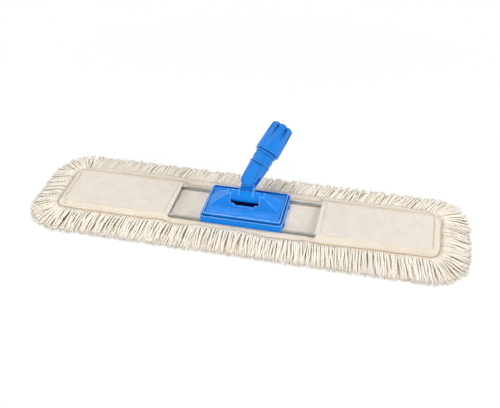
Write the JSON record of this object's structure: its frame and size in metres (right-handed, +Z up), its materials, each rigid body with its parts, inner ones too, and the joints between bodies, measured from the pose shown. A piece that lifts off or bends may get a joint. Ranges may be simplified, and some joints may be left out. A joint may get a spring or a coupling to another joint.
{
  "type": "dust mop",
  "caption": "Flat dust mop head: fringed cotton cloth with end pockets over a wire frame, plastic connector with a two-axis joint and a screw collar socket for a handle.",
  "frame": {"origin": "middle of the sole, on the floor, under the middle of the connector plate", "axes": "+X along the mop, +Y towards the back where the socket leans, +Z up from the floor"},
  "size_m": [0.908, 0.268, 0.1699],
  "materials": {
    "yarn": "soft cotton yarn",
    "canvas": "plain woven canvas",
    "binding": "folded canvas tape",
    "wire": "zinc plated",
    "steel": "plain",
    "plastic": "moulded, semi-gloss",
    "collet": "moulded, matt"
  },
  "bodies": {
    "mop": {"yarn_pile": "yarn", "fringe_front": "yarn", "fringe_back": "yarn", "fringe_left": "yarn", "fringe_right": "yarn", "backing_cloth": "canvas", "edge_binding": "binding", "left_pocket": "canvas", "right_pocket": "canvas", "left_pocket_hem": "binding", "right_pocket_hem": "binding", "left_wire": "wire", "right_wire": "wire", "connector_shell": "plastic", "clamp_plate": "plastic", "clamp_screws": "steel", "trunnion_pin": "steel"},
    "yoke": {"yoke": "plastic", "fork_pin": "steel"},
    "socket": {"handle_socket": "plastic"},
    "collet": {"clamp_collet": "collet"},
    "collar": {"locking_collar": "plastic"}
  },
  "joints": [
    {"name": "yoke_lean", "type": "hinge", "parent": "mop", "child": "yoke", "pos_m": [0, 0, 0.0515], "axis": [-1, 0, 0], "range_deg": [-110, 6]},
    {"name": "socket_tilt", "type": "hinge", "parent": "yoke", "child": "socket", "pos_m": [0, 0.02679, 0.07243], "axis": [0, 0.6157, -0.788], "range_deg": [-96.5, 53.5]},
    {"name": "collet_slide", "type": "slide", "parent": "socket", "child": "collet", "axis": [0.3665, 0.7332, 0.5728], "range_m": [0, 0.004]},
    {"name": "collar_turn", "type": "hinge", "parent": "collet", "child": "collar", "pos_m": [0.03665, 0.10011, 0.12971], "axis": [0.3665, 0.7332, 0.5728], "range_deg": [0, 360]}
  ],
  "couplings": [
    {"joint": "collet_slide", "follows": "collar_turn", "m_per_rad": 0.0006366}
  ]
}
